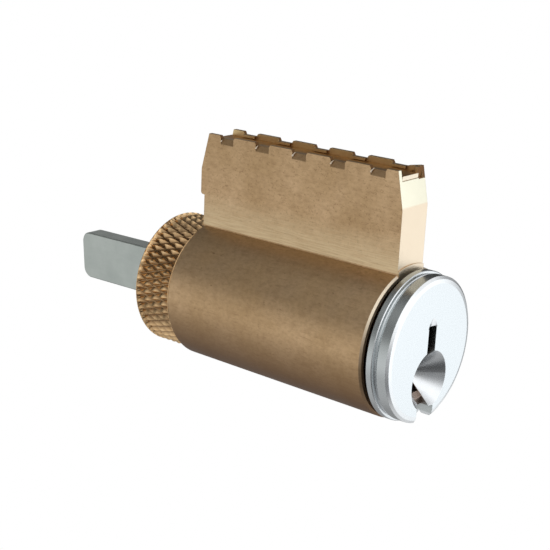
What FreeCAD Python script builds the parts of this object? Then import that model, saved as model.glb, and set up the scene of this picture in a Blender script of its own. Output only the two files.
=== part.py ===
import FreeCAD, Part
import math
import os

import Sketcher

# A keyed pin-tumbler lock cylinder for a door knob or lever, in millimetres.
# X points right, Y points back from the key face to the tailpiece, Z points up.
# The origin is on the plug's axis, in the plane of the shell's front end.

doc = FreeCAD.newDocument("LockCylinder")

DIMENSIONS = {
    # shell: round barrel with a flat-sided pin housing on top
    "barrel_radius": 8.5,
    "shell_length": 28.0,
    "shell_edge": 0.22,
    "housing_half": 2.42,
    "housing_root": 7.4,
    "housing_top": 19.3,
    "housing_clear": 20.4,
    "overhang": 0.56,
    "overhang_base": 11.9,
    "overhang_fillet": 0.35,
    "front_step_radius": 8.92,
    "front_step": 0.14,
    "front_bevel_radius": 15.4,
    "front_bevel": 1.05,
    "rear_bevel_radius": 15.2,
    "rear_bevel": 1.03,
    "bore_radius": 6.4,
    "counterbore_radius": 7.88,
    "counterbore_depth": 1.2,
    "channel_half": 1.92,
    "channel_floor": 18.12,
    # staked lips that hold the chamber cover
    "stake_first": 3.51,
    "stake_shift": 0.15,
    "stake_pitch": 5.3,
    "stake_width": 1.9,
    "stake_base": 18.25,
    "stake_top": 19.0,
    "stake_depth": 0.26,
    "stake_flare": 0.25,
    "stake_tab": 0.4,
    "stake_tab_base": 18.72,
    "stake_count": 5,
    "end_tab_inner": 1.2,
    "end_tab_front": 0.88,
    "end_tab_rear": 1.3,
    "lip_ramp_front": 1.3,
    "lip_ramp_rear": 2.9,
    # chamber cover
    "cover_half": 1.87,
    "cover_thickness": 0.5,
    "cover_front": 0.8,
    "cover_rear": 27.75,
    # pin chambers
    "chamber_radius": 1.5,
    "chamber_first": 4.3,
    "chamber_pitch": 3.96,
    "chamber_count": 6,
    "chamber_floor": -1.8,
    # plug
    "face_depth": 3.26,
    "face_radius": 7.43,
    "rim_depth": 2.95,
    "rim_radius": 8.19,
    "groove_front": 1.86,
    "groove_rear": 1.36,
    "groove_radius": 7.94,
    "ring_radius": 8.42,
    "ring_edge": 0.08,
    "ring_rear": 0.6,
    "neck_radius": 7.0,
    "neck_rear": 1.1,
    "plug_radius": 6.35,
    "plug_length": 28.1,
    "thread_radius": 6.1,
    "thread_end": 31.0,
    "thread_edge": 0.3,
    # keyway and key relief
    "key_left": -0.7,
    "key_right": 0.83,
    "key_top": 2.65,
    "key_front_depth": 1.2,
    "ward_left": -0.2,
    "ward_right": 0.32,
    "ward_top": 0.6,
    "ward_middle": -1.5,
    "ward_bottom": -3.4,
    "key_bottom": -7.6,
    "lead_radius": 1.5,
    "lead_apex": 3.66,
    "lead_slope": 15,
    "lead_length": 1.1,
    "relief_x": 0.15,
    "relief_z": -3.55,
    "relief_radius": 3.4,
    "relief_depth": 3.91,
    "notch_left": -1.85,
    "notch_right": 1.37,
    "notch_top_left": -6.25,
    "notch_top_right": -6.72,
    # plug cap
    "cap_front": 28.12,
    "cap_rear": 33.62,
    "cap_radius": 8.2,
    "cap_edge": 0.4,
    "cap_bore": 6.14,
    "cap_wall_front": 32.1,
    "cap_hole": 3.6,
    "detent_radius": 0.85,
    "detent_count": 12,
    # tailpiece
    "tail_half": 1.17,
    "tail_top": 2.97,
    "tail_bottom": -3.15,
    "tail_end": 50.85,
    "tail_slant": 0.3,
    "tail_corner": 1.3,
    "tail_grip": 34.0,
    "tail_root_half": 1.14,
    "tail_tilt": 1.2,
    "tail_pivot": 31.55,
    "tail_edge": 0.12,
    "tongue_half_height": 2.5,
    "tongue_front": 29.75,
    "tail_slot_half": 1.42,
    "tail_slot_half_height": 2.75,
    "tail_slot_front": 29.6,
    "tail_base_radius": 4.0,
    "tail_base_front": 31.18,
    "tail_base_rear": 31.92,
    # cap pin
    "cap_pin_y": 29.4,
    "cap_pin_radius": 0.7,
    "cap_pin_hole": 0.75,
    "cap_pin_floor": 3.4,
    "cap_pin_base": 5.0,
    "cap_pin_tip": 6.55,
    "cap_spring_radius": 0.5,
    "cap_spring_wire": 0.09,
    # pin stacks
    "pin_radius": 1.44,
    "pin_edge": 0.15,
    "pin_cone": 0.95,
    "pin_nose": 0.5,
    "shear_gap_low": 6.15,
    "driver_base": 6.46,
    "driver_length": 4.6,
    "spring_radius": 1.14,
    "spring_wire": 0.14,
    "spring_gap": 0.02,
}
BOTTOM_PIN_LENGTHS = [5.2, 6.35, 4.65, 7.1, 5.85, 6.75]
for number, length in enumerate(BOTTOM_PIN_LENGTHS, start=1):
    DIMENSIONS[f"bottom_pin_{number}"] = length

sheet = doc.addObject("Spreadsheet::Sheet", "dims")
for row, (alias, value) in enumerate(DIMENSIONS.items(), start=1):
    sheet.set(f"A{row}", alias)
    sheet.set(f"B{row}", str(value))
    sheet.setAlias(f"B{row}", alias)
doc.recompute()

ORIGIN_POINT = (-1, 1)
HORIZONTAL_AXIS = "H_Axis"
VERTICAL_AXIS = "V_Axis"


def cell(name):
    """The value of one named dimension."""
    return DIMENSIONS[name]


def new_body(label):
    body = doc.addObject("PartDesign::Body", label)
    body.Label = label
    return body


def origin_feature(body, role):
    """One of the body's own origin planes or axes, found by its role."""
    return next(item for item in body.Origin.OriginFeatures if item.Role == role)


def new_sketch(body, name, role, offset="0"):
    """A sketch on one of the body's origin planes, moved along the plane's normal."""
    sketch = body.newObject("Sketcher::SketchObject", name)
    sketch.AttachmentSupport = [(origin_feature(body, role), "")]
    sketch.MapMode = "FlatFace"
    sketch.setExpression("AttachmentOffset.Base.z", offset)
    return sketch


def pin_point(sketch, geometry, point, across, up):
    """Hold one point of the sketch at two distances from its origin."""
    for kind, expression in (("DistanceX", across), ("DistanceY", up)):
        constraint = Sketcher.Constraint(kind, *ORIGIN_POINT, geometry, point, 1.0)
        index = sketch.addConstraint(constraint)
        sketch.setExpression(f"Constraints[{index}]", expression)


def add_outline(sketch, corners):
    """A closed outline of straight lines through corners given as expressions."""
    count = len(corners)
    angles = [2 * math.pi * index / count for index in range(count + 1)]
    guess = [FreeCAD.Vector(5 * math.cos(angle), 5 * math.sin(angle), 0) for angle in angles]
    lines = [Part.LineSegment(guess[index], guess[index + 1]) for index in range(count)]
    first = sketch.addGeometry(lines, False)[0]
    for index in range(count):
        following = first + (index + 1) % count
        sketch.addConstraint(Sketcher.Constraint("Coincident", first + index, 2, following, 1))
    for index, (across, up) in enumerate(corners):
        pin_point(sketch, first + index, 1, across, up)


def add_rectangle(sketch, left, right, low, high):
    add_outline(sketch, [(left, low), (right, low), (right, high), (left, high)])


def add_circle(sketch, across, up, radius):
    centre = FreeCAD.Vector(0, 0, 0)
    circle = sketch.addGeometry(Part.Circle(centre, FreeCAD.Vector(0, 0, 1), 1.0), False)
    pin_point(sketch, circle, 3, across, up)
    index = sketch.addConstraint(Sketcher.Constraint("Radius", circle, 1.0))
    sketch.setExpression(f"Constraints[{index}]", radius)


def extrude(body, kind, name, sketch, length, reverse=False, midplane=False):
    """A pad or a pocket of the sketch."""
    feature = body.newObject(f"PartDesign::{kind}", name)
    feature.Profile = sketch
    feature.Reversed = reverse
    feature.Midplane = midplane
    feature.setExpression("Length", length)
    doc.recompute()
    return feature


def revolve(body, kind, name, sketch, axis):
    """A full revolution or groove of the sketch about one of its own axes."""
    feature = body.newObject(f"PartDesign::{kind}", name)
    feature.Profile = sketch
    feature.ReferenceAxis = (sketch, [axis])
    feature.Angle = 360
    doc.recompute()
    return feature


def repeat_along_y(body, name, features, pitch, count):
    """Repeat features along the body's Y axis at an even pitch."""
    pattern = body.newObject("PartDesign::LinearPattern", name)
    pattern.Originals = features
    pattern.Direction = (origin_feature(body, "Y_Axis"), [""])
    pattern.setExpression("Length", f"{pitch} * ({count} - 1)")
    pattern.setExpression("Occurrences", count)
    body.Tip = pattern
    doc.recompute()
    return pattern


def edges_where(feature, wanted):
    """Names of the feature's edges for which wanted(edge) is true."""
    edges = feature.Shape.Edges
    return [f"Edge{index}" for index, edge in enumerate(edges, start=1) if wanted(edge)]


def dress_up(body, kind, name, feature, names, size_name, size):
    """A chamfer or fillet on some of the feature's edges."""
    dressing = body.newObject(f"PartDesign::{kind}", name)
    dressing.Base = (feature, names)
    dressing.setExpression(size_name, size)
    doc.recompute()
    return dressing


def is_circle_at(edge, radius, depth):
    """Whether the edge is an arc about the Y axis of this radius, at this Y."""
    if not isinstance(edge.Curve, Part.Circle):
        return False
    centre = edge.Curve.Center
    on_axis = abs(centre.x) < 0.01 and abs(centre.z) < 0.01
    return on_axis and abs(edge.Curve.Radius - radius) < 0.01 and abs(centre.y - depth) < 0.01


def revolved_about_y(label, corners):
    """A body turned about the Y axis from corners given as (Y, radius)."""
    body = new_body(label)
    sketch = new_sketch(body, f"{label}_section", "YZ_Plane")
    add_outline(sketch, corners)
    revolve(body, "Revolution", f"{label}_turned", sketch, HORIZONTAL_AXIS)
    return body


def revolved_about_z(label, corners):
    """A body turned about the Z axis from corners given as (radius, Z)."""
    body = new_body(label)
    sketch = new_sketch(body, f"{label}_section", "XZ_Plane")
    add_outline(sketch, corners)
    revolve(body, "Revolution", f"{label}_turned", sketch, VERTICAL_AXIS)
    return body


# Sketches on the XZ plane face the key side, so a distance back along Y is a
# negative offset of the sketch, and a reversed pad runs towards the rear.

def add_stakes(body, name, sign, first):
    """The punched dents of one lip: sloping outside, lower on top, bent in over the cover."""
    start = f"-({first} - dims.stake_width / 2)"
    dent_sketch = new_sketch(body, f"{name}_dent_outline", "XZ_Plane", start)
    outside = f"{sign}(dims.housing_half + 1)"
    add_outline(dent_sketch, [
        (f"{sign}dims.housing_half", "dims.stake_base"),
        (outside, "dims.stake_base"),
        (outside, "dims.stake_top + 0.1"),
        (f"{sign}(dims.housing_half - dims.stake_depth)", "dims.stake_top + 0.1")])
    dent = extrude(body, "Pocket", f"{name}_dent", dent_sketch, "dims.stake_width")

    top_sketch = new_sketch(body, f"{name}_low_top_outline", "YZ_Plane",
                            f"{sign}(dims.channel_half - 0.5)")
    front, rear = f"{first} - dims.stake_width / 2", f"{first} + dims.stake_width / 2"
    add_outline(top_sketch, [(front, "dims.stake_top"),
                             (rear, "dims.stake_top"),
                             (f"{rear} + dims.stake_flare", "dims.housing_top + 0.1"),
                             (f"{front} - dims.stake_flare", "dims.housing_top + 0.1")])
    low_top = extrude(body, "Pocket", f"{name}_low_top", top_sketch,
                      "dims.housing_half - dims.channel_half + 1", reverse=not sign)

    tab_sketch = new_sketch(body, f"{name}_tab_outline", "XZ_Plane", start)
    add_rectangle(tab_sketch, f"{sign}(dims.channel_half - dims.stake_tab)",
                  f"{sign}(dims.channel_half + 0.1)", "dims.stake_tab_base", "dims.stake_top")
    tab = extrude(body, "Pad", f"{name}_tab", tab_sketch, "dims.stake_width", reverse=True)
    repeat_along_y(body, f"{name}_stakes", [dent, low_top, tab],
                   "dims.stake_pitch", "dims.stake_count")


def make_shell():
    body = new_body("shell")

    barrel = new_sketch(body, "barrel_outline", "XZ_Plane")
    add_circle(barrel, "0", "0", "dims.barrel_radius")
    barrel_pad = extrude(body, "Pad", "barrel", barrel, "dims.shell_length", reverse=True)
    rims = edges_where(barrel_pad, lambda edge: is_circle_at(edge, cell("barrel_radius"), 0)
                       or is_circle_at(edge, cell("barrel_radius"), cell("shell_length")))
    dress_up(body, "Chamfer", "barrel_edges", barrel_pad, rims, "Size", "dims.shell_edge")

    housing = new_sketch(body, "housing_outline", "XZ_Plane")
    add_rectangle(housing, "-dims.housing_half", "dims.housing_half",
                  "dims.housing_root", "dims.housing_top")
    extrude(body, "Pad", "housing", housing, "dims.shell_length", reverse=True)

    overhang = new_sketch(body, "overhang_outline", "XZ_Plane")
    add_rectangle(overhang, "-dims.housing_half", "dims.housing_half",
                  "dims.overhang_base", "dims.housing_top")
    overhang_pad = extrude(body, "Pad", "housing_overhang", overhang,
                           "dims.shell_length + dims.overhang", reverse=True)
    base_edge = edges_where(overhang_pad, lambda edge: all(
        vertex.Y > cell("shell_length") + cell("overhang") - 0.01
        and abs(vertex.Z - cell("overhang_base")) < 0.01 for vertex in edge.Vertexes))
    dress_up(body, "Fillet", "overhang_round", overhang_pad, base_edge,
             "Radius", "dims.overhang_fillet")

    front = new_sketch(body, "front_bevel_section", "YZ_Plane")
    add_outline(front, [("-1", "dims.front_step_radius"),
                        ("dims.front_step", "dims.front_step_radius"),
                        ("dims.front_step", "dims.front_bevel_radius"),
                        ("dims.front_bevel + dims.front_step", "dims.housing_clear"),
                        ("-1", "dims.housing_clear")])
    revolve(body, "Groove", "front_bevel", front, HORIZONTAL_AXIS)

    rear = new_sketch(body, "rear_bevel_section", "YZ_Plane")
    rear_end = "dims.shell_length + dims.overhang"
    add_outline(rear, [(rear_end, "dims.rear_bevel_radius"),
                       (f"{rear_end} + 1", "dims.rear_bevel_radius"),
                       (f"{rear_end} + 1", "dims.housing_clear"),
                       (f"{rear_end} - dims.rear_bevel * 1.25", "dims.housing_clear")])
    revolve(body, "Groove", "rear_bevel", rear, HORIZONTAL_AXIS)

    channel = new_sketch(body, "channel_outline", "XZ_Plane", "2")
    add_rectangle(channel, "-dims.channel_half", "dims.channel_half",
                  "dims.channel_floor", "dims.housing_clear")
    extrude(body, "Pocket", "cover_channel", channel, "dims.shell_length + 4")

    bore = new_sketch(body, "bore_outline", "XZ_Plane", "2")
    add_circle(bore, "0", "0", "dims.bore_radius")
    extrude(body, "Pocket", "plug_bore", bore, "dims.shell_length + 4")

    counterbore = new_sketch(body, "counterbore_outline", "XZ_Plane", "2")
    add_circle(counterbore, "0", "0", "dims.counterbore_radius")
    extrude(body, "Pocket", "counterbore", counterbore, "dims.counterbore_depth + 2")

    chamber = new_sketch(body, "chamber_outline", "XY_Plane")
    add_circle(chamber, "0", "dims.chamber_first", "dims.chamber_radius")
    first = extrude(body, "Pocket", "chamber", chamber, "dims.housing_clear", reverse=True)
    repeat_along_y(body, "chambers", [first], "dims.chamber_pitch", "dims.chamber_count")

    add_stakes(body, "left", "-", "dims.stake_first")
    add_stakes(body, "right", "", "dims.stake_first + dims.stake_shift")

    low_end = new_sketch(body, "right_lip_front_outline", "YZ_Plane",
                         "dims.channel_half - 0.1")
    add_outline(low_end, [("dims.lip_ramp_front", "dims.housing_top"),
                          ("dims.lip_ramp_rear", "dims.stake_top"),
                          ("dims.stake_first + dims.stake_shift", "dims.stake_top"),
                          ("dims.stake_first + dims.stake_shift", "dims.housing_top + 0.1"),
                          ("dims.lip_ramp_front", "dims.housing_top + 0.1")])
    extrude(body, "Pocket", "right_lip_front", low_end,
            "dims.housing_half - dims.channel_half + 1", reverse=True)

    end_tab = new_sketch(body, "end_tab_outline", "XY_Plane", "dims.channel_floor - 0.1")
    add_outline(end_tab, [("dims.end_tab_inner", "dims.end_tab_front + 0.1"),
                          ("dims.channel_half + 0.1", "dims.end_tab_front"),
                          ("dims.channel_half + 0.1", "dims.end_tab_rear + 0.6"),
                          ("dims.end_tab_inner", "dims.end_tab_rear")])
    extrude(body, "Pad", "end_tab", end_tab, "dims.housing_top - dims.channel_floor + 0.05")
    return body


def make_chamber_cover():
    body = new_body("chamber_cover")
    sketch = new_sketch(body, "cover_outline", "XZ_Plane", "-dims.cover_front")
    floor = "dims.channel_floor + 0.02"
    add_rectangle(sketch, "-dims.cover_half", "dims.cover_half",
                  floor, f"{floor} + dims.cover_thickness")
    extrude(body, "Pad", "cover_strip", sketch,
            "dims.cover_rear - dims.cover_front", reverse=True)
    corner = new_sketch(body, "cover_corner_outline", "XY_Plane", floor)
    add_rectangle(corner, "dims.end_tab_inner - 0.05", "dims.cover_half + 1",
                  "dims.cover_front - 1", "dims.end_tab_rear + 0.65")
    extrude(body, "Pocket", "cover_corner", corner, "dims.cover_thickness + 1", reverse=True)
    return body


def make_plug():
    face = "-dims.face_depth"
    body = revolved_about_y("plug", [
        (face, "0"),
        (face, "dims.face_radius"),
        ("-(dims.rim_depth * 0.3 + dims.face_depth * 0.7)",
         "dims.face_radius * 0.42 + dims.rim_radius * 0.58"),
        ("-dims.rim_depth", "dims.rim_radius"),
        ("-dims.groove_front", "dims.rim_radius"),
        ("-(dims.groove_front * 0.62 + dims.groove_rear * 0.38)",
         "dims.groove_radius * 0.8 + dims.rim_radius * 0.2"),
        ("-(dims.groove_front * 0.3 + dims.groove_rear * 0.7)", "dims.groove_radius"),
        ("-(dims.groove_front * 0.12 + dims.groove_rear * 0.88)",
         "dims.groove_radius * 0.6 + dims.rim_radius * 0.4"),
        ("-dims.groove_rear", "dims.ring_radius - dims.ring_edge"),
        ("-dims.groove_rear + dims.ring_edge", "dims.ring_radius"),
        ("-dims.ring_rear - dims.ring_edge", "dims.ring_radius"),
        ("-dims.ring_rear", "dims.ring_radius - dims.ring_edge"),
        ("-dims.ring_rear", "dims.neck_radius"),
        ("dims.neck_rear", "dims.neck_radius"),
        ("dims.neck_rear", "dims.plug_radius"),
        ("dims.plug_length", "dims.plug_radius"),
        ("dims.plug_length", "dims.thread_radius"),
        ("dims.thread_end - dims.thread_edge", "dims.thread_radius"),
        ("dims.thread_end", "dims.thread_radius - dims.thread_edge"),
        ("dims.thread_end", "0"),
    ])

    front_slot = new_sketch(body, "front_slot_outline", "XZ_Plane", "dims.face_depth + 1")
    add_rectangle(front_slot, "dims.key_left", "dims.key_right",
                  "dims.key_bottom", "dims.key_top")
    extrude(body, "Pocket", "front_slot", front_slot, "dims.key_front_depth + 1")

    keyway = new_sketch(body, "keyway_outline", "XZ_Plane", "dims.face_depth + 1")
    add_outline(keyway, [("dims.key_left", "dims.key_top"),
                         ("dims.key_left", "dims.ward_top"),
                         ("dims.ward_left", "dims.ward_top - 0.4"),
                         ("dims.ward_left", "dims.ward_middle"),
                         ("dims.key_left", "dims.ward_middle - 0.4"),
                         ("dims.key_left", "dims.plug_radius * -0.85"),
                         ("dims.key_right", "dims.plug_radius * -0.85"),
                         ("dims.key_right", "dims.ward_bottom"),
                         ("dims.ward_right", "dims.ward_bottom + 0.4"),
                         ("dims.ward_right", "dims.ward_middle - 0.6"),
                         ("dims.key_right", "dims.ward_middle - 0.2"),
                         ("dims.key_right", "dims.key_top")])
    extrude(body, "Pocket", "keyway", keyway,
            "dims.face_depth + dims.thread_end + 2")

    notch = new_sketch(body, "rim_notch_outline", "XZ_Plane", "dims.face_depth + 1")
    add_outline(notch, [("dims.notch_left", "-dims.ring_radius - 1"),
                        ("dims.notch_right", "-dims.ring_radius - 1"),
                        ("dims.notch_right", "dims.notch_top_right"),
                        ("dims.key_left", "dims.notch_top_right"),
                        ("dims.key_left", "dims.notch_top_left"),
                        ("dims.notch_left", "dims.notch_top_left")])
    extrude(body, "Pocket", "rim_notch", notch, "dims.face_depth - dims.ring_rear + 1")

    relief = body.newObject("PartDesign::SubtractiveCone", "key_relief")
    relief.Radius2 = 0
    relief.setExpression("Radius1", "dims.relief_radius")
    relief.setExpression("Height", "dims.relief_depth")
    relief.Placement = FreeCAD.Placement(
        FreeCAD.Vector(cell("relief_x"), -cell("face_depth"), cell("relief_z")),
        FreeCAD.Rotation(FreeCAD.Vector(1, 0, 0), -90))
    relief.setExpression(".Placement.Base.x", "dims.relief_x")
    relief.setExpression(".Placement.Base.y", face)
    relief.setExpression(".Placement.Base.z", "dims.relief_z")
    doc.recompute()

    # A shallow scoop over the keyway: a cylinder whose lowest line enters the face at
    # the apex and runs down and back at the slope.
    lead = body.newObject("PartDesign::SubtractiveCylinder", "key_lead_in")
    lead.setExpression("Radius", "dims.lead_radius")
    lead.setExpression("Height", "dims.lead_length + 0.5")
    lead.Placement = FreeCAD.Placement(
        FreeCAD.Vector(0, 0, 0),
        FreeCAD.Rotation(FreeCAD.Vector(1, 0, 0), cell("lead_slope") - 180))
    lead.setExpression(".Placement.Base.x", "(dims.key_left + dims.key_right) / 2")
    lead.setExpression(".Placement.Base.y", f"{face} - dims.lead_radius * cos(dims.lead_slope)"
                                            " - 0.5 * sin(dims.lead_slope)")
    lead.setExpression(".Placement.Base.z", "dims.lead_apex - dims.lead_radius"
                                            " * sin(dims.lead_slope) + 0.5 * cos(dims.lead_slope)")
    doc.recompute()

    tail_slot = new_sketch(body, "tail_slot_outline", "XZ_Plane", "-dims.tail_slot_front")
    add_rectangle(tail_slot, "-dims.tail_slot_half", "dims.tail_slot_half",
                  "-dims.tail_slot_half_height", "dims.tail_slot_half_height")
    extrude(body, "Pocket", "tail_slot", tail_slot, "3")

    pin_hole = new_sketch(body, "cap_pin_hole_outline", "XY_Plane", "dims.cap_pin_floor")
    add_circle(pin_hole, "0", "dims.cap_pin_y", "dims.cap_pin_hole")
    extrude(body, "Pocket", "cap_pin_hole", pin_hole, "dims.plug_radius", reverse=True)

    chamber = new_sketch(body, "plug_chamber_outline", "XY_Plane", "dims.chamber_floor")
    add_circle(chamber, "0", "dims.chamber_first", "dims.chamber_radius")
    first = extrude(body, "Pocket", "plug_chamber", chamber, "dims.plug_radius * 2",
                    reverse=True)
    repeat_along_y(body, "plug_chambers", [first], "dims.chamber_pitch", "dims.chamber_count")
    return body


def make_plug_cap():
    body = revolved_about_y("plug_cap", [
        ("dims.cap_front", "dims.cap_bore"),
        ("dims.cap_front", "dims.cap_radius - dims.cap_edge"),
        ("dims.cap_front + dims.cap_edge", "dims.cap_radius"),
        ("dims.cap_rear - dims.cap_edge", "dims.cap_radius"),
        ("dims.cap_rear", "dims.cap_radius - dims.cap_edge"),
        ("dims.cap_rear", "dims.cap_hole"),
        ("dims.cap_wall_front", "dims.cap_hole"),
        ("dims.cap_wall_front", "dims.cap_bore"),
    ])
    detent = new_sketch(body, "detent_outline", "XZ_Plane", "-dims.cap_front + 1")
    add_circle(detent, "0", "dims.cap_bore", "dims.detent_radius")
    first = extrude(body, "Pocket", "detent", detent,
                    "dims.cap_wall_front - dims.cap_front + 1")
    pattern = body.newObject("PartDesign::PolarPattern", "detents")
    pattern.Originals = [first]
    pattern.Axis = (origin_feature(body, "Y_Axis"), [""])
    pattern.Angle = 360
    pattern.setExpression("Occurrences", "dims.detent_count")
    body.Tip = pattern
    doc.recompute()
    return body


def make_tailpiece():
    body = new_body("tailpiece")
    blade = new_sketch(body, "blade_outline", "YZ_Plane")
    add_outline(blade, [("dims.tail_base_front", "dims.tail_bottom"),
                        ("dims.tail_end - dims.tail_slant", "dims.tail_bottom"),
                        ("dims.tail_end", "dims.tail_top"),
                        ("dims.tail_base_front", "dims.tail_top")])
    blade_pad = extrude(body, "Pad", "blade", blade, "dims.tail_half * 2", midplane=True)
    corners = edges_where(blade_pad, lambda edge: all(
        vertex.Y > cell("tail_end") - cell("tail_slant") - 0.01 for vertex in edge.Vertexes)
        and abs(edge.Vertexes[0].X - edge.Vertexes[-1].X) > 0.01)
    rounded = dress_up(body, "Fillet", "blade_corners", blade_pad, corners,
                       "Radius", "dims.tail_corner")
    sides = edges_where(rounded, lambda edge: abs(
        edge.Vertexes[0].X - edge.Vertexes[-1].X) < 0.01
        and max(vertex.Y for vertex in edge.Vertexes) > cell("tail_base_rear"))
    dress_up(body, "Chamfer", "blade_edges", rounded, sides, "Size", "dims.tail_edge")

    root = new_sketch(body, "blade_root_outline", "XZ_Plane", "-dims.tail_base_rear")
    for sign in ("-", ""):
        add_rectangle(root, f"{sign}dims.tail_root_half", f"{sign}(dims.tail_half + 1)",
                      "dims.tail_bottom - 1", "dims.tail_top + 1")
    extrude(body, "Pocket", "blade_root", root, "dims.tail_grip - dims.tail_base_rear")

    tongue = new_sketch(body, "tongue_outline", "YZ_Plane")
    add_rectangle(tongue, "dims.tongue_front", "dims.tail_base_rear",
                  "-dims.tongue_half_height", "dims.tongue_half_height")
    extrude(body, "Pad", "tongue", tongue, "dims.tail_half * 2", midplane=True)

    base = new_sketch(body, "base_outline", "XZ_Plane", "-dims.tail_base_front")
    add_circle(base, "0", "0", "dims.tail_base_radius")
    extrude(body, "Pad", "base", base, "dims.tail_base_rear - dims.tail_base_front",
            reverse=True)

    # The blade is loose in its slot and hangs a little low at its free end.
    body.Placement = FreeCAD.Placement(
        FreeCAD.Vector(0, 0, 0),
        FreeCAD.Rotation(FreeCAD.Vector(1, 0, 0), -cell("tail_tilt")))
    body.setExpression("Placement.Base.y", "dims.tail_pivot * (1 - cos(dims.tail_tilt))")
    body.setExpression("Placement.Base.z", "dims.tail_pivot * sin(dims.tail_tilt)")
    return body


def make_cap_pin():
    body = revolved_about_z("cap_pin", [
        ("0", "dims.cap_pin_base"),
        ("dims.cap_pin_radius", "dims.cap_pin_base"),
        ("dims.cap_pin_radius", "dims.cap_pin_tip - 0.3"),
        ("dims.cap_pin_radius - 0.3", "dims.cap_pin_tip"),
        ("0", "dims.cap_pin_tip"),
    ])
    body.setExpression("Placement.Base.y", "dims.cap_pin_y")
    return body


def chamber_y(number):
    """Where pin chamber 1, 2, ... is along Y."""
    return f"dims.chamber_first + dims.chamber_pitch * {number - 1}"


def make_bottom_pin(number):
    top = "dims.shear_gap_low"
    tip = f"{top} - dims.bottom_pin_{number}"
    body = revolved_about_z(f"bottom_pin_{number}", [
        ("0", tip),
        ("dims.pin_nose", tip),
        ("dims.pin_radius", f"{tip} + dims.pin_cone"),
        ("dims.pin_radius", f"{top} - dims.pin_edge"),
        ("dims.pin_radius - dims.pin_edge", top),
        ("0", top),
    ])
    body.setExpression("Placement.Base.y", chamber_y(number))
    return body


def make_driver_pin(number):
    top = "dims.driver_base + dims.driver_length"
    body = revolved_about_z(f"driver_pin_{number}", [
        ("0", "dims.driver_base"),
        ("dims.pin_radius - dims.pin_edge", "dims.driver_base"),
        ("dims.pin_radius", "dims.driver_base + dims.pin_edge"),
        ("dims.pin_radius", f"{top} - dims.pin_edge"),
        ("dims.pin_radius - dims.pin_edge", top),
        ("0", top),
    ])
    body.setExpression("Placement.Base.y", chamber_y(number))
    return body


def make_spring(label, centre_y, low, high, coil_radius, wire_radius):
    """The sleeve that a compression spring's coils fill, standing along Z."""
    inner = f"{coil_radius} - {wire_radius}"
    outer = f"{coil_radius} + {wire_radius}"
    base = f"{low} + dims.spring_gap"
    top = f"{high} - dims.spring_gap"
    body = revolved_about_z(label, [(inner, base), (outer, base), (outer, top), (inner, top)])
    body.setExpression("Placement.Base.y", centre_y)
    return body


def make_pin_spring(number):
    return make_spring(
        f"pin_spring_{number}", chamber_y(number),
        "dims.driver_base + dims.driver_length", "dims.channel_floor",
        "dims.spring_radius", "dims.spring_wire")


def make_cap_pin_spring():
    return make_spring(
        "cap_pin_spring", "dims.cap_pin_y", "dims.cap_pin_floor", "dims.cap_pin_base",
        "dims.cap_spring_radius", "dims.cap_spring_wire")


subparts = [make_shell(), make_chamber_cover(), make_plug(), make_plug_cap(),
            make_tailpiece(), make_cap_pin(), make_cap_pin_spring()]
for stack in range(1, len(BOTTOM_PIN_LENGTHS) + 1):
    subparts.append(make_bottom_pin(stack))
    subparts.append(make_driver_pin(stack))
    subparts.append(make_pin_spring(stack))
doc.recompute()

for item in doc.Objects:
    if "Invalid" in item.State or "Error" in item.State:
        raise RuntimeError(f"{item.Label} failed: {item.State}")
for part in subparts:
    if part.Shape.isNull() or not part.Shape.isValid():
        raise RuntimeError(f"{part.Label} has no valid shape")

os.makedirs("parts", exist_ok=True)
for part in subparts:
    part.Shape.exportStep(os.path.join("parts", f"{part.Label}.step"))
    box = part.Shape.BoundBox
    print(f"{part.Label:16s} {part.Shape.Volume:9.2f} mm3  solids {len(part.Shape.Solids)}"
          f"  X {box.XMin:.2f} {box.XMax:.2f}  Y {box.YMin:.2f} {box.YMax:.2f}"
          f"  Z {box.ZMin:.2f} {box.ZMax:.2f}")
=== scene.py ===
import math

import bpy
from mathutils import Matrix, Vector


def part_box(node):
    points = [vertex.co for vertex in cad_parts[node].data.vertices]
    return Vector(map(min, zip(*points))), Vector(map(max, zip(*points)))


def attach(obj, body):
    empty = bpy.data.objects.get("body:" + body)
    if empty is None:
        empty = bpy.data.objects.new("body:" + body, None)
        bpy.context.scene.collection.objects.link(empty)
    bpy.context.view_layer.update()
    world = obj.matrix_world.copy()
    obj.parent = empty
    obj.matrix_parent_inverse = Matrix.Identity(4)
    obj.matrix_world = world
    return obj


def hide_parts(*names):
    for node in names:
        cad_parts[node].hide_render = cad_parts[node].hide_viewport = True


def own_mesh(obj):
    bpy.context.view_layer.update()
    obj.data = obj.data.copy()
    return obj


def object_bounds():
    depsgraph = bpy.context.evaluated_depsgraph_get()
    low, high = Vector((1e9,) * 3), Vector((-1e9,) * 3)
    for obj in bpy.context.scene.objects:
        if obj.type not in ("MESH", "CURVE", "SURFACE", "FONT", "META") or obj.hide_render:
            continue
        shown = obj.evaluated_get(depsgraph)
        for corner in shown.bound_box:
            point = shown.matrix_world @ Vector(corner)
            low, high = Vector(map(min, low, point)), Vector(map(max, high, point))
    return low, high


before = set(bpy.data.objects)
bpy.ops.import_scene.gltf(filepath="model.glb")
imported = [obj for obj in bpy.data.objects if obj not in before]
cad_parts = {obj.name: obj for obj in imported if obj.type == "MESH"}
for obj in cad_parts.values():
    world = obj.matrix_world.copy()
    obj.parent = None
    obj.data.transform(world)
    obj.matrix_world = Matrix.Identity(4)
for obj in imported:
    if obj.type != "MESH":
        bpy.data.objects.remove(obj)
CAD_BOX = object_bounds()

MM = 0.001
TURN = 2 * math.pi


def box_mm(node):
    """A CAD node's lowest and highest corners in millimetres."""
    low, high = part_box(node)
    return low / MM, high / MM


# ---------------------------------------------------------------- camera

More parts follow.
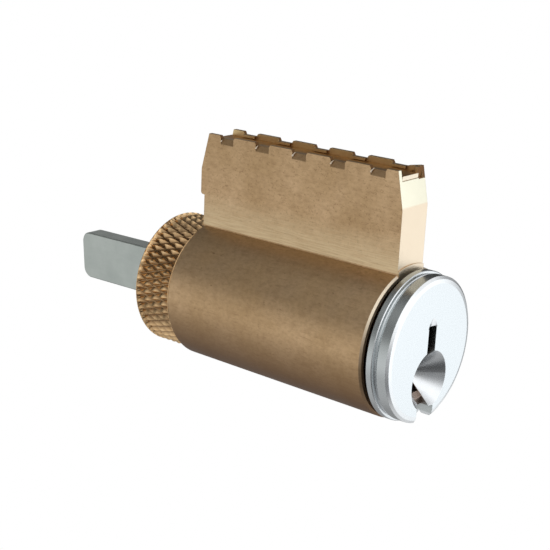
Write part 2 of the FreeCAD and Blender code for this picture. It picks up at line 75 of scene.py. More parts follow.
CAMERA_AZIMUTH = math.radians(-51.374)
CAMERA_ELEVATION = math.radians(16.921)
CAMERA_ROLL = math.radians(2.652)
CAMERA_DISTANCE = 138.519 * MM
CAMERA_TARGET = Vector((0, 14, 4)) * MM
CAMERA_SLIDE = (-3.638 * MM, 0.382 * MM)
CAMERA_LENS = 78.695
SENSOR_WIDTH = 36
NEAREST = 1 * MM


def make_camera():
    azimuth, elevation = CAMERA_AZIMUTH, CAMERA_ELEVATION
    back = Vector((math.sin(azimuth) * math.cos(elevation),
                   -math.cos(azimuth) * math.cos(elevation),
                   math.sin(elevation)))
    right = Vector((0, 0, 1)).cross(back).normalized()
    up = back.cross(right)
    place = CAMERA_TARGET + back * CAMERA_DISTANCE
    place += right * CAMERA_SLIDE[0] + up * CAMERA_SLIDE[1]
    cosine, sine = math.cos(CAMERA_ROLL), math.sin(CAMERA_ROLL)
    rolled_right = right * cosine + up * sine
    rolled_up = up * cosine - right * sine
    data = bpy.data.cameras.new("camera")
    data.lens = CAMERA_LENS
    data.sensor_width = SENSOR_WIDTH
    data.clip_start = NEAREST
    camera = bpy.data.objects.new("camera", data)
    camera.matrix_world = Matrix.Translation(place) @ Matrix(
        (rolled_right, rolled_up, back)).transposed().to_4x4()
    bpy.context.scene.collection.objects.link(camera)
    bpy.context.scene.camera = camera


# ---------------------------------------------------------------- node helpers

class Nodes:
    """A small builder for one node tree."""

    def __init__(self, tree):
        self.tree = tree
        tree.nodes.clear()

    def add(self, kind, inputs=None, **settings):
        node = self.tree.nodes.new(kind)
        for name, value in settings.items():
            setattr(node, name, value)
        for name, value in (inputs or {}).items():
            self.feed(node.inputs[name], value)
        return node

    def feed(self, socket, value):
        if isinstance(value, bpy.types.NodeSocket):
            self.tree.links.new(value, socket)
        else:
            socket.default_value = value

    def math(self, operation, *values):
        node = self.add("ShaderNodeMath", operation=operation)
        for socket, value in zip(node.inputs, values):
            self.feed(socket, value)
        return node.outputs[0]

    def product(self, first, *others):
        """All the values multiplied together."""
        for value in others:
            first = self.math("MULTIPLY", first, value)
        return first

    def mix(self, factor, first, second):
        node = self.add("ShaderNodeMix", data_type="RGBA")
        self.feed(node.inputs["Factor"], factor)
        self.feed(node.inputs["A"], first)
        self.feed(node.inputs["B"], second)
        return node.outputs["Result"]

    def ramp(self, value, low, high, out_low=0.0, out_high=1.0):
        node = self.add("ShaderNodeMapRange", {
            "Value": value, "From Min": low, "From Max": high,
            "To Min": out_low, "To Max": out_high})
        return node.outputs["Result"]

    def curve(self, value, stops):
        """A smooth level from (place, level) stops, for a value from 0 to 1."""
        node = self.add("ShaderNodeValToRGB", {"Fac": value})
        node.color_ramp.interpolation = "EASE"
        points = node.color_ramp.elements
        points[0].position, points[1].position = stops[0][0], stops[-1][0]
        points[0].color = (stops[0][1],) * 3 + (1,)
        points[-1].color = (stops[-1][1],) * 3 + (1,)
        for place, level in stops[1:-1]:
            points.new(place).color = (level,) * 3 + (1,)
        return node.outputs["Color"]

    def facing(self, axis, low, high):
        """1 on faces whose own normal points along the axis, 0 elsewhere."""
        normal = self.add("ShaderNodeTexCoord").outputs["Normal"]
        dot = self.add("ShaderNodeVectorMath", operation="DOT_PRODUCT")
        self.feed(dot.inputs[0], normal)
        dot.inputs[1].default_value = axis
        return self.ramp(dot.outputs["Value"], low, high)

    def noise(self, vector, scale, detail=3.0, roughness=0.5, stretch=(1, 1, 1)):
        if stretch != (1, 1, 1):
            vector = self.add("ShaderNodeMapping",
                              {"Vector": vector, "Scale": stretch}).outputs["Vector"]
        node = self.add("ShaderNodeTexNoise", {
            "Vector": vector, "Scale": scale, "Detail": detail, "Roughness": roughness})
        return node.outputs["Fac"]


def millimetres(nodes):
    """Object coordinates in millimetres, and their X, Y and Z."""
    place = nodes.add("ShaderNodeTexCoord").outputs["Object"]
    scaled = nodes.add("ShaderNodeVectorMath", operation="SCALE")
    nodes.feed(scaled.inputs[0], place)
    scaled.inputs["Scale"].default_value = 1 / MM
    split = nodes.add("ShaderNodeSeparateXYZ", {"Vector": scaled.outputs[0]})
    return scaled.outputs[0], split.outputs


def colour(red, green, blue):
    """A linear colour from the 0 to 255 values a screen shows."""
    def linear(value):
        value = value / 255
        return value / 12.92 if value <= 0.04045 else ((value + 0.055) / 1.055) ** 2.4
    return (linear(red), linear(green), linear(blue), 1.0)


def new_material(name):
    material = bpy.data.materials.new(name)
    material.use_nodes = True
    return material, Nodes(material.node_tree)


def finish_material(nodes, shader):
    output = nodes.add("ShaderNodeOutputMaterial")
    nodes.feed(output.inputs["Surface"], shader.outputs[0])


def bumped(nodes, height, strength, distance, bevel=None):
    """A normal from a height, on edges softened by a small bevel."""
    inputs = {"Height": height, "Strength": strength, "Distance": distance}
    if bevel:
        edge = nodes.add("ShaderNodeBevel", {"Radius": bevel}, samples=4)
        inputs["Normal"] = edge.outputs["Normal"]
    return nodes.add("ShaderNodeBump", inputs).outputs["Normal"]


# ---------------------------------------------------------------- materials

# Places on the shell, in millimetres from the plug's axis and the front end.
END_FACE_DEPTH = 1.2
END_FACE_CREASE = 15.4
CREASE_BLUR = 0.1
END_FACE_DIM, END_FACE_BRIGHT = -1.0, 5.0
FOOT_BASE, FOOT_TOP = 8.3, 12.5
BARREL_TOP, HOUSING_FOOT = 7.5, 9.0
UNDER_START, UNDER_FULL = 0.5, -7.0
LIP_BASE = 18.0
LIP_INNER = 1.15
DENT_REACH = 2.4

# A painted lighter tone for the right lip's inner side.
LIP_INNER_PAINTED_LIGHT = colour(226, 200, 150)
# How strongly the painted shade in the dents and in the knurling's grooves shows.
DENT_PAINTED_SHADE = 0.45
GROOVE_SHADE = 0.7

# Noise patterns for brass, as (features per millimetre, detail, roughness, stretch).
BLOTCH = (0.16, 4.0, 0.6)
MOTTLE = (1.3, 4.0, 0.6, (1.0, 0.45, 1.0))
FINE = (7.0, 3.0, 0.6)
TURNING = (1.0, 2.0, 0.5, (0.12, 9.0, 0.12))
SCRATCHES = (1.0, 2.0, 0.4, (0.5, 0.35, 6.0))
FOOT_STREAKS = (1.3, 3.0, 0.6, (1.0, 0.22, 5.5))
GRIT = (2.6, 4.0, 0.75, (1.0, 0.6, 1.0))
SCUFFS = (1.7, 3.0, 0.6, (1.0, 0.35, 4.0))
PITS = (2.6, 2.0, 0.45, (1.0, 0.6, 1.5))
SPECKS = (5.2, 2.0, 0.6, (1.0, 0.7, 1.0))


def reach_from_axis(nodes, axes):
    """Distance from the plug's axis in millimetres."""
    return nodes.math("SQRT", nodes.math("ADD", nodes.product(axes["X"], axes["X"]),
                                         nodes.product(axes["Z"], axes["Z"])))


def end_face_painted_light(nodes, axes, tint, below, above):
    """Painted light on the front end: faces turned to the front get a paler tone, faint low
    down and full higher up, with one tone each side of the crease.
    """
    upper = nodes.ramp(axes["Z"], END_FACE_CREASE - CREASE_BLUR, END_FACE_CREASE + CREASE_BLUR)
    shown = nodes.product(nodes.facing((0, -1, 0), 0.4, 0.65),
                          nodes.math("LESS_THAN", axes["Y"], END_FACE_DEPTH),
                          nodes.ramp(axes["Z"], END_FACE_DIM, END_FACE_BRIGHT, 0.12, 1.0))
    return nodes.mix(shown, tint, nodes.mix(upper, below, above))


def lip_painted_light_and_shade(nodes, axes, tint, dark):
    """Painted shade on the staked lips' front-facing ends and in their dents, and a painted
    lighter tone on the right lip's inner side.
    """
    high = nodes.math("GREATER_THAN", axes["Z"], LIP_BASE)
    on_left = nodes.math("LESS_THAN", axes["X"], 0.0)
    on_right = nodes.math("GREATER_THAN", axes["X"], 0.0)
    facing_left = nodes.facing((-1, 0, 0), 0.8, 0.9)
    facing_right = nodes.facing((1, 0, 0), 0.8, 0.9)
    tint = nodes.mix(nodes.product(facing_left, on_right, high), tint, LIP_INNER_PAINTED_LIGHT)
    inside = nodes.math("MAXIMUM", nodes.math("GREATER_THAN", axes["X"], LIP_INNER),
                        nodes.math("GREATER_THAN", axes["Y"], END_FACE_DEPTH))
    ends = nodes.product(nodes.facing((0, -1, 0), 0.2, 0.5), high, inside)
    outer = nodes.math("MAXIMUM", nodes.product(facing_left, on_left),
                       nodes.product(facing_right, on_right))
    sunk = nodes.math("LESS_THAN", nodes.math("ABSOLUTE", axes["X"]), DENT_REACH)
    dents = nodes.product(outer, sunk, high, DENT_PAINTED_SHADE)
    return nodes.mix(nodes.math("MAXIMUM", ends, dents), tint, dark)


def foot_painted_reflection(nodes, place, axes, tint, pale):
    """A painted reflection: a paler, streaked band on the left side, where the housing meets
    the barrel.
    """
    streaks = nodes.ramp(nodes.noise(place, *FOOT_STREAKS), 0.36, 0.62, 0.5, 1.1)
    shown = nodes.product(nodes.facing((-1, 0, 0), 0.9, 0.98),
                          nodes.math("GREATER_THAN", axes["Z"], FOOT_BASE),
                          nodes.ramp(axes["Z"], FOOT_TOP, FOOT_BASE), streaks)
    return nodes.mix(shown, tint, pale)


def groove_painted_shade(nodes, axes, tint, groove_shade_colour, shallow, deep):
    """Painted shade in the knurling's grooves, from none at one distance from the axis to full
    at the other.
    """
    reach = reach_from_axis(nodes, axes)
    shown = nodes.product(nodes.ramp(reach, shallow, deep),
                          nodes.math("GREATER_THAN", reach, 2 * deep - shallow), GROOVE_SHADE)
    return nodes.mix(shown, tint, groove_shade_colour)


def tarnished(nodes, place, axes, tint, tarnish, mottle, pits):
    """Stains, grit, scuffs, pits and specks over a tint; the barrel has fewer specks."""
    grit = nodes.ramp(nodes.noise(place, *GRIT), 0.4, 0.68)
    scuffs = nodes.ramp(nodes.noise(place, *SCUFFS), 0.6, 0.74)
    specks = nodes.ramp(nodes.noise(place, *SPECKS), 0.6, 0.68)
    marks = [(nodes.ramp(mottle, 0.5, 0.75), 0.25), (grit, 0.34), (scuffs, 0.45), (pits, 0.55),
             (specks, nodes.ramp(axes["Z"], BARREL_TOP, HOUSING_FOOT, 0.12, 0.5))]
    for mark, strength in marks:
        tint = nodes.mix(nodes.product(mark, strength), tint, tarnish)
    return tint


def brass(name, light, dark, tarnish, roughness=0.42, grain=1.0, lathe=0.0, bevel=0.05 * MM,
          end_face=None, lips=None, foot=None, underside_shade=None, groove=None):
    """Satin brass: soft blotches of tone, a fine grain, small scratches, turning lines.

    end_face holds the painted light on the front end, its tones below and above the crease,
    lips is the painted shade on the staked lips' ends and dents, foot the painted reflection on
    the band where the housing meets the barrel, under the painted shade on the barrel's
    underside, and groove the painted shade in the knurling with the distances from the axis
    where it starts and is full."""
    material, nodes = new_material(name)
    place, axes = millimetres(nodes)
    blotch, mottle, fine, turning, scratches = (
        nodes.noise(place, *pattern) for pattern in (BLOTCH, MOTTLE, FINE, TURNING, SCRATCHES))
    pits = nodes.ramp(nodes.noise(place, *PITS), 0.69, 0.76)
    tint = nodes.mix(nodes.ramp(blotch, 0.3, 0.7), light, dark)
    tint = tarnished(nodes, place, axes, tint, tarnish, mottle, pits)
    # Painted reflection on the foot band.
    if foot:
        tint = foot_painted_reflection(nodes, place, axes, tint, foot)
    # Painted shade: the barrel darkens towards its underside.
    if underside_shade:
        tint = nodes.mix(nodes.ramp(axes["Z"], UNDER_START, UNDER_FULL), tint, underside_shade)
    # Painted light on the front end.
    if end_face:
        tint = end_face_painted_light(nodes, axes, tint, *end_face)
    # Painted light and shade on the lips.
    if lips:
        tint = lip_painted_light_and_shade(nodes, axes, tint, lips)
    # Painted shade in the knurling's grooves.
    if groove:
        tint = groove_painted_shade(nodes, axes, tint, *groove)
    rough = nodes.math("ADD", nodes.ramp(fine, 0.3, 0.7, -0.05, 0.06),
                       nodes.ramp(blotch, 0.3, 0.7, roughness - 0.04, roughness + 0.05))
    height = nodes.product(fine, grain)
    for pattern, depth in ((mottle, 0.8 * grain), (scratches, 0.35 * grain), (turning, lathe),
                           (pits, -1.5)):
        height = nodes.math("ADD", height, nodes.product(pattern, depth))
    shader = nodes.add("ShaderNodeBsdfPrincipled", {
        "Base Color": tint, "Metallic": 1.0, "Roughness": rough,
        "Normal": bumped(nodes, height, 0.35, 0.02 * MM, bevel)})
    finish_material(nodes, shader)
    return material


# Places on the plug, in millimetres from its axis and the shell's front end.
RIM_REACH = 7.9
CHROME_REAR, RAW_FRONT = -0.58, -0.5
SLOT_HALF = 0.88
SLOT_TOP = 3.9
SLOT_END = 6.95
SLOT_CHROMED, SLOT_RAW = -3.0, -2.0
SLOT_FLOOR, SLOT_THROAT = -1.5, -0.5

# Noise patterns for chrome.
CHROME_TURNING = (1.0, 2.0, 0.5, (0.4, 10.0, 0.4))
CHROME_CLOUD = (0.5, 3.0, 0.5)
CHROME_FINE = (9.0, 3.0, 0.6)


def chrome_painted_light(nodes, axes, reach, cloud):
    """Painted light on the head's chrome: the flat front, its bevel and the rim get lit and
    shaded tones by facing, and the rim is painted paler low down.
    """
    bevel = nodes.mix(nodes.ramp(cloud, 0.3, 0.7), colour(233, 236, 238), colour(224, 228, 232))
    # The rim's paler tone low down is a painted reflection.
    low_rim_painted_light = nodes.product(nodes.ramp(axes["Z"], 2.0, -6.0),
                            nodes.math("GREATER_THAN", reach, RIM_REACH))
    rim = nodes.mix(low_rim_painted_light, colour(196, 202, 202), colour(222, 226, 228))
    tint = nodes.mix(nodes.facing((0, -1, 0), 0.3, 0.4), rim, bevel)
    return nodes.mix(nodes.facing((0, -1, 0), 0.97, 0.99), tint, colour(209, 216, 220))


def satin_chrome():
    """The plug: satin chrome on the head, raw brass in the keyway and on the body behind, with
    painted shade in the keyway's upper part.
    """
    material, nodes = new_material("satin_chrome")
    place, axes = millimetres(nodes)
    reach = reach_from_axis(nodes, axes)
    cloud, fine, turning = (nodes.noise(place, *pattern)
                            for pattern in (CHROME_CLOUD, CHROME_FINE, CHROME_TURNING))
    raw = nodes.mix(nodes.ramp(fine, 0.3, 0.7), colour(170, 152, 140), colour(112, 96, 86))
    behind = nodes.ramp(axes["Y"], CHROME_REAR, RAW_FRONT)
    slot = nodes.product(
        nodes.math("LESS_THAN", nodes.math("ABSOLUTE", axes["X"]), SLOT_HALF),
        nodes.math("LESS_THAN", axes["Z"], SLOT_TOP),
        nodes.math("LESS_THAN", reach, SLOT_END),
        nodes.ramp(axes["Y"], SLOT_CHROMED, SLOT_RAW))
    tint = nodes.mix(nodes.math("MAXIMUM", behind, slot),
                     chrome_painted_light(nodes, axes, reach, cloud), raw)
    # Painted shade: the keyway's upper part is painted near black.
    keyway_painted_shade = nodes.product(slot, nodes.ramp(axes["Z"], SLOT_FLOOR, SLOT_THROAT), 0.9)
    tint = nodes.mix(keyway_painted_shade, tint, colour(26, 22, 20))
    rough = nodes.ramp(fine, 0.3, 0.7, 0.24, 0.3)
    height = nodes.math("ADD", nodes.product(fine, 0.08), nodes.product(turning, 0.6))
    shader = nodes.add("ShaderNodeBsdfPrincipled", {
        "Base Color": tint, "Metallic": 1.0, "Roughness": rough,
        "Normal": bumped(nodes, height, 0.12, 0.01 * MM, 0.05 * MM)})
    finish_material(nodes, shader)
    return material


# Noise patterns for steel.
STEEL_CLOUD = (0.3, 4.0, 0.6)
STEEL_FINE = (6.0, 3.0, 0.6)
STEEL_STREAKS = (1.4, 3.0, 0.5, (0.25, 0.25, 4.0))


def brushed_steel(name, light, dark, roughness=0.38):
    """Cold-rolled steel with faint streaks along the strip and a dull cloudiness."""
    material, nodes = new_material(name)
    place = millimetres(nodes)[0]
    cloud, fine, streaks = (nodes.noise(place, *pattern)
                            for pattern in (STEEL_CLOUD, STEEL_FINE, STEEL_STREAKS))
    tint = nodes.mix(nodes.ramp(cloud, 0.3, 0.7), light, dark)
    rough = nodes.math("ADD", nodes.ramp(fine, 0.3, 0.7, -0.04, 0.05),
                       nodes.ramp(streaks, 0.3, 0.7, roughness - 0.03, roughness + 0.04))
    height = nodes.math("ADD", nodes.product(fine, 0.6), nodes.product(streaks, 0.5))
    shader = nodes.add("ShaderNodeBsdfPrincipled", {
        "Base Color": tint, "Metallic": 1.0, "Roughness": rough,
        "Normal": bumped(nodes, height, 0.25, 0.01 * MM, 0.06 * MM)})
    finish_material(nodes, shader)
    return material


# ---------------------------------------------------------------- meshes

def mesh_object(name, points, faces):
    mesh = bpy.data.meshes.new(name)
    mesh.from_pydata(points, [], faces)
    mesh.update()
    piece = bpy.data.objects.new(name, mesh)
    bpy.context.scene.collection.objects.link(piece)
    return piece


def shade(piece, degrees):
    """Smooth shading, with edges sharper than this angle kept crisp."""
    mesh = piece.data
    mesh.shade_smooth()
    mesh.set_sharp_from_angle(angle=math.radians(degrees))


# The rear cap and its knurling, in millimetres.
cap_low, cap_high = box_mm("plug_cap")
CREST_CLEARANCE = 0.02
CAP_RADIUS = cap_high.x - CREST_CLEARANCE
CAP_FRONT, CAP_REAR = cap_low.y, cap_high.y
KNURL_COUNT = 52
KNURL_ANGLE = math.radians(20)
KNURL_DEPTH = 0.44
KNURL_CREST = 0.9
KNURL_STEPS = 10
CAP_LAND = 0.16
CAP_LAND_DROP = 0.03
KNURL_FADE = 0.1
CAP_CHAMFER = 0.1
CAP_WALL = 1.52
CAP_BORE = 6.14
CAP_HOLE = 3.6
CAP_HOLE_EDGE = 0.25
CAP_CREASE = 24
DETENT_RADIUS = 0.85
DETENT_COUNT = 12


def knurl_height(angle, depth):
    """How far up a pyramid of the knurl this point is, from 0 in a groove to 1 on the crest."""
    turns = KNURL_COUNT * angle / TURN
    pitch = TURN * CAP_RADIUS / KNURL_COUNT
    drift = depth * math.tan(KNURL_ANGLE) / pitch
    heights = []
    for position in (turns + drift, turns - drift):
        fraction = position % 1.0
        heights.append(2 * min(fraction, 1 - fraction))
    return min(min(heights) / KNURL_CREST, 1.0)


def bore_radius(angle):
    """The cap's inner wall: a plain bore with half-round notches for the locking pin."""
    spacing = TURN / DETENT_COUNT
    offset = (angle + spacing / 2) % spacing - spacing / 2
    side = CAP_BORE * math.sin(offset)
    if abs(side) >= DETENT_RADIUS:
        return CAP_BORE
    reach = CAP_BORE * math.cos(offset) + math.sqrt(DETENT_RADIUS ** 2 - side ** 2)
    return max(reach, CAP_BORE)


def make_knurled_cap():
    """The rear cap with its diamond knurling cut in the mesh."""
    around = KNURL_COUNT * KNURL_STEPS
    pitch = TURN * CAP_RADIUS / KNURL_COUNT
    step = pitch / math.tan(KNURL_ANGLE) / KNURL_STEPS
    width = CAP_REAR - CAP_FRONT
    land = CAP_RADIUS - CAP_LAND_DROP
    rows = [CAP_LAND + step * index for index in range(int((width - 2 * CAP_LAND) / step) + 1)]
    rows.append(width - CAP_LAND)
    angles = [TURN * index / around for index in range(around)]
    rings = [[(land - CAP_CHAMFER, CAP_FRONT)] * around,
             [(land, CAP_FRONT + CAP_CHAMFER)] * around,
             [(land, CAP_FRONT + CAP_LAND)] * around]
    for depth in rows:
        from_end = min(depth, width - depth) - CAP_LAND
        cut = KNURL_DEPTH * min(from_end / KNURL_FADE, 1.0)
        rings.append([(land - cut * (1 - knurl_height(angle, depth)),
                       CAP_FRONT + depth) for angle in angles])
    rings.append([(land, CAP_REAR - CAP_LAND)] * around)
    rings.append([(land, CAP_REAR - CAP_CHAMFER)] * around)
    rings.append([(land - CAP_CHAMFER, CAP_REAR)] * around)
    rings.append([(CAP_HOLE + CAP_HOLE_EDGE, CAP_REAR)] * around)
    rings.append([(CAP_HOLE, CAP_REAR - CAP_HOLE_EDGE)] * around)
    rings.append([(CAP_HOLE, CAP_REAR - CAP_WALL)] * around)
    rings.append([(bore_radius(angle), CAP_REAR - CAP_WALL) for angle in angles])
    rings.append([(bore_radius(angle), CAP_FRONT) for angle in angles])

    points = [(radius * math.sin(angle) * MM, y * MM, radius * math.cos(angle) * MM)
              for ring in rings for angle, (radius, y) in zip(angles, ring)]
    faces = []
    first_knurled, last_knurled = 3, len(rows) + 1
    for row in range(len(rings)):
        following = (row + 1) % len(rings)
        for index in range(around):
            beside = (index + 1) % around
            low_a, low_b = row * around + index, row * around + beside
            high_a, high_b = following * around + index, following * around + beside
            if not first_knurled <= row <= last_knurled:
                faces.append((low_a, high_a, high_b, low_b))
                continue
            rising = rings[row][index][0] + rings[following][beside][0]
            falling = rings[row][beside][0] + rings[following][index][0]
            if rising < falling:
                faces += [(low_a, high_a, high_b), (low_a, high_b, low_b)]
            else:
                faces += [(low_a, high_a, low_b), (high_a, high_b, low_b)]
    cap = mesh_object("knurled_cap", points, faces)
    shade(cap, CAP_CREASE)
    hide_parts("plug_cap")
    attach(cap, "plug")
    return cap


# Points along one turn and around the wire, and the rise of a closed end turn in wire radii.
COIL_STEPS = 28
COIL_SIDES = 10
CLOSED_RISE = 2.2
ROUND_CREASE = 50


def tube_faces(base, rings, sides):
    """The faces of a closed tube of rings, whose first point has the index base."""
    faces = []
    for ring in range(rings - 1):
        for side in range(sides):
            a = base + ring * sides + side
            b = base + ring * sides + (side + 1) % sides
            faces.append((a, b, b + sides, a + sides))
    faces.append(tuple(range(base + sides - 1, base - 1, -1)))
    faces.append(tuple(range(base + (rings - 1) * sides, base + rings * sides)))
    return faces


def coil_rise(turn, turns, closed):
    """The share of the height reached after so many turns, with the end turns closed."""
    if turn < 1:
        return closed * turn
    if turn > turns - 1:
        return 1 - closed * (turns - turn)
    return closed + (1 - 2 * closed) * (turn - 1) / (turns - 2)


def make_coil(name, centre, low, high, coil_radius, wire_radius, turns):
    """A compression spring with closed ends, from bottom to top in millimetres."""
    count = turns * COIL_STEPS
    start, end = low + wire_radius, high - wire_radius
    closed = CLOSED_RISE * wire_radius / (end - start)
    points = []
    for index in range(count + 1):
        turn = turns * index / count
        height = start + (end - start) * coil_rise(turn, turns, closed)
        angle = TURN * turn
        outward = Vector((math.cos(angle), math.sin(angle), 0))
        middle = Vector((centre[0], centre[1], height)) + outward * coil_radius
        for side in range(COIL_SIDES):
            around = TURN * side / COIL_SIDES
            point = middle + outward * wire_radius * math.cos(around)
            point.z += wire_radius * math.sin(around)
            points.append(point * MM)
    coil = mesh_object(name, points, tube_faces(0, count + 1, COIL_SIDES))
    shade(coil, ROUND_CREASE)
    return coil


# The left dents' rear ends, the lip's outer side and the burrs there, in millimetres.
DENT_REAR_FIRST = 4.46
DENT_PITCH = 5.3
LIP_SIDE = 2.4
BURR_BASE = 18.6
BURR_WIDTH = 0.26
BURR_LENGTHS = (0.56, 0.46, 0.52, 0.4, 0.26)
BURR_LEAN, BURR_CURL = 0.8, 1.5
BURR_TAPER = 0.75
BURR_FLATNESS = 0.7
BURR_STEPS, BURR_SIDES = 8, 8


def burr_points(rear, length):
    """One curled burr: it stands up from the dent's rear end, leans forward and tapers."""
    points = []
    for step in range(BURR_STEPS + 1):
        along = step / BURR_STEPS
        lean = length * BURR_LEAN * along ** BURR_CURL
        thick = BURR_WIDTH / 2 * (1 - BURR_TAPER * along ** 2)
        for side in range(BURR_SIDES):
            angle = TURN * side / BURR_SIDES
            points.append(Vector((-LIP_SIDE + BURR_FLATNESS * thick * math.sin(angle),
                                  rear - lean + thick * math.cos(angle),
                                  BURR_BASE + length * along)) * MM)
    return points


def make_burrs():
    """The burrs that the staking punch left at the rear end of each left dent."""
    points, faces = [], []
    for index, length in enumerate(BURR_LENGTHS):
        faces += tube_faces(len(points), BURR_STEPS + 1, BURR_SIDES)
        points += burr_points(DENT_REAR_FIRST + DENT_PITCH * index, length)
    burrs = mesh_object("stake_burrs", points, faces)
    shade(burrs, ROUND_CREASE)
    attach(burrs, "shell")
    return burrs


# Each spring's wire radius in millimetres and its number of turns.
PIN_WIRE, PIN_COILS = 0.14, 9
CAP_PIN_WIRE, CAP_PIN_COILS = 0.09, 6


def make_spring(node, body, wire_radius, turns):
    """Real coils in place of a spring's plain sleeve."""
    low, high = box_mm(node)
    centre = (low + high) / 2
    outer = (high.x - low.x) / 2
    coil = make_coil(f"{node}_coils", centre, low.z, high.z,
                     outer - wire_radius, wire_radius, turns)
    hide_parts(node)
    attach(coil, body)
    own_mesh(coil)
    return coil


# ---------------------------------------------------------------- build

# Depths below the knurling's crests, in millimetres, where its painted shade starts and is
# full.
GROOVE_SHADE_START, GROOVE_SHADE_FULL = 0.12, 0.4

# The shell's front end, lips, foot and underside colours are painted light and shade.
shell_brass = brass("shell_brass", colour(216, 184, 144), colour(198, 166, 124),
                    colour(150, 118, 84), roughness=0.4, lathe=0.8,
                    end_face=(colour(226, 212, 190), colour(230, 228, 209)),
                    lips=colour(104, 74, 44), foot=colour(232, 210, 170),
                    underside_shade=colour(130, 93, 61))
# The cover's front end tone is painted light.
cover_end_painted_light = colour(224, 214, 194)
cover_brass = brass("cover_brass", colour(220, 172, 108), colour(198, 146, 86),
                    colour(140, 98, 56), roughness=0.38, end_face=(cover_end_painted_light, cover_end_painted_light))
# The cap's groove colour is painted shade in the knurling.
cap_brass = brass("cap_brass", colour(250, 216, 166), colour(238, 198, 146),
                  colour(168, 122, 82), roughness=0.24, grain=0.4, bevel=None,
                  groove=(colour(112, 80, 50), CAP_RADIUS - GROOVE_SHADE_START, CAP_RADIUS - GROOVE_SHADE_FULL))
pin_brass = brass("pin_brass", colour(220, 186, 120), colour(205, 168, 104),
                  colour(160, 120, 70), roughness=0.25, grain=0.4)
# The burrs' near-white colour is a painted highlight.
burr_brass_painted_highlight = brass("burr_brass_painted_highlight", colour(255, 244, 228), colour(250, 236, 214),
                   colour(236, 214, 186), roughness=0.6, grain=0.3, bevel=None)
chrome = satin_chrome()
tail_steel = brushed_steel("tail_steel", colour(198, 205, 200), colour(184, 192, 187))
pin_steel = brushed_steel("pin_steel", colour(214, 216, 220), colour(200, 203, 208), 0.25)
spring_steel = brushed_steel("spring_steel", colour(214, 216, 220), colour(198, 202, 208), 0.22)

NODE_MATERIALS = {
    "shell": shell_brass,
    "chamber_cover": cover_brass,
    "plug": chrome,
    "tailpiece": tail_steel,
    "cap_pin": pin_brass,
}
STACKS = range(1, 7)
for stack in STACKS:
    NODE_MATERIALS[f"bottom_pin_{stack}"] = pin_brass
    NODE_MATERIALS[f"driver_pin_{stack}"] = pin_steel


def paint(piece, material):
    piece.data.materials.clear()
    piece.data.materials.append(material)


for node, material in NODE_MATERIALS.items():
    paint(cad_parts[node], material)

paint(make_knurled_cap(), cap_brass)
paint(make_burrs(), burr_brass_painted_highlight)
for stack in STACKS:
    paint(make_spring(f"pin_spring_{stack}", "shell",
                      PIN_WIRE, PIN_COILS), spring_steel)
paint(make_spring("cap_pin_spring", "plug", CAP_PIN_WIRE, CAP_PIN_COILS), spring_steel)


# ---------------------------------------------------------------- studio

FLOOR_DROP = 220 * MM
FLOOR_HALF = 0.5
# Brightness of the surroundings from straight down (0) through the horizon (0.5) to
# straight up (1): a pale table, bright low walls and a dim ceiling.
SURROUND = [(0.0, 0.28), (0.2, 0.3), (0.36, 0.64), (0.5, 0.7), (0.56, 0.62), (0.66, 0.24),
            (0.8, 0.11), (1.0, 0.09)]
# Soft lights as (direction, cosine where the light starts, cosine where it is full, level);
# a negative level is a dark card.
SOFT_LIGHTS = [
    ((0.75, -0.65, -0.1), 0.35, 0.85, 0.85),
    ((0.0, -0.9, 0.45), 0.8, 0.97, 0.45),
    ((-0.45, -0.35, 0.82), 0.545, 0.82, 0.8),
    ((-0.65, 0.1, -0.75), 0.5, 0.9, 0.22),
    ((-0.55, -0.75, -0.35), 0.6, 0.93, -0.4),
    ((1.0, 0.12, 0.0), 0.76, 0.95, -1.1),
]
DARKEST = 0.06


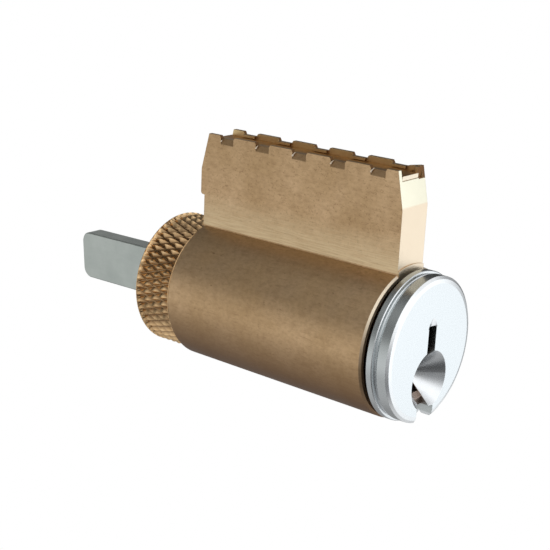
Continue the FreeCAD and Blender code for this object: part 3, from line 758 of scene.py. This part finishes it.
def surroundings(nodes, direction):
    """How bright the studio is in this direction, seen from the object."""
    up = nodes.add("ShaderNodeSeparateXYZ", {"Vector": direction}).outputs["Z"]
    level = nodes.curve(nodes.ramp(up, -1.0, 1.0), SURROUND)
    for towards, start, full, strength in SOFT_LIGHTS:
        near = nodes.add("ShaderNodeVectorMath", operation="DOT_PRODUCT")
        nodes.feed(near.inputs[0], direction)
        near.inputs[1].default_value = Vector(towards).normalized()
        light = nodes.add("ShaderNodeMapRange", {
            "Value": near.outputs["Value"], "From Min": start, "From Max": full,
            "To Max": strength}, interpolation_type="SMOOTHSTEP")
        level = nodes.math("ADD", level, light.outputs["Result"])
    return nodes.math("MAXIMUM", level, DARKEST)


def emission_of(nodes, kind, level):
    """Light of this level that the camera itself sees as plain white."""
    soft = nodes.add(kind, {"Color": (1, 1, 1, 1), "Strength": level})
    white = nodes.add(kind, {"Color": (1, 1, 1, 1), "Strength": 1.0})
    seen = nodes.add("ShaderNodeLightPath").outputs["Is Camera Ray"]
    mixed = nodes.add("ShaderNodeMixShader")
    for socket, value in zip(mixed.inputs, (seen, soft.outputs[0], white.outputs[0])):
        nodes.feed(socket, value)
    return mixed


def make_floor():
    """A pale floor, lit like the rest of the studio: its light follows the direction too."""
    low = CAD_BOX[0].z - FLOOR_DROP
    corners = [(-FLOOR_HALF, -FLOOR_HALF, low), (FLOOR_HALF, -FLOOR_HALF, low),
               (FLOOR_HALF, FLOOR_HALF, low), (-FLOOR_HALF, FLOOR_HALF, low)]
    floor = mesh_object("floor", corners, [(0, 1, 2, 3)])
    material, nodes = new_material("pale_floor")
    place = nodes.add("ShaderNodeTexCoord").outputs["Object"]
    direction = nodes.add("ShaderNodeVectorMath", operation="NORMALIZE")
    nodes.feed(direction.inputs[0], place)
    level = surroundings(nodes, direction.outputs["Vector"])
    finish_material(nodes, emission_of(nodes, "ShaderNodeEmission", level))
    floor.data.materials.append(material)


def make_world():
    world = bpy.data.worlds.new("studio")
    world.use_nodes = True
    bpy.context.scene.world = world
    nodes = Nodes(world.node_tree)
    direction = nodes.add("ShaderNodeTexCoord").outputs["Generated"]
    level = surroundings(nodes, direction)
    output = nodes.add("ShaderNodeOutputWorld")
    nodes.feed(output.inputs["Surface"],
               emission_of(nodes, "ShaderNodeBackground", level).outputs[0])


make_camera()
make_world()
make_floor()
bpy.context.scene.view_settings.view_transform = "Standard"
